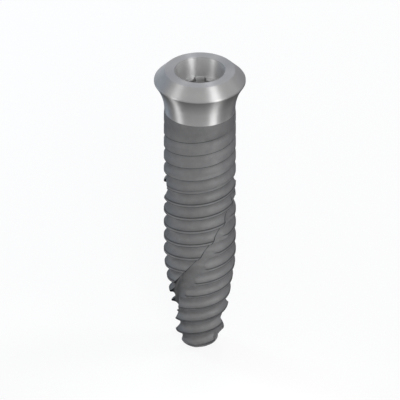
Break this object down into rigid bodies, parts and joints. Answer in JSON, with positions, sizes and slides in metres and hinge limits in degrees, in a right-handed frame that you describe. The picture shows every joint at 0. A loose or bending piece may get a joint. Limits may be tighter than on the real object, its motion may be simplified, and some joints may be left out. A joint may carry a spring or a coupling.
{
  "type": "dental implant",
  "caption": "Tissue-level dental implant in titanium: flared polished collar with a lobed inner socket over a rough tapered screw with cutting flutes.",
  "frame": {"origin": "centre of the flat end face at the tip of the screw", "axes": "+Z along the axis of the implant, from the tip towards the collar; +X to the right of the picture"},
  "size_m": [0.0048, 0.0048, 0.0162],
  "materials": {
    "titanium": "machined and polished collar, matt blasted and etched screw"
  },
  "bodies": {
    "root": {"implant": "titanium"}
  },
  "joints": []
}
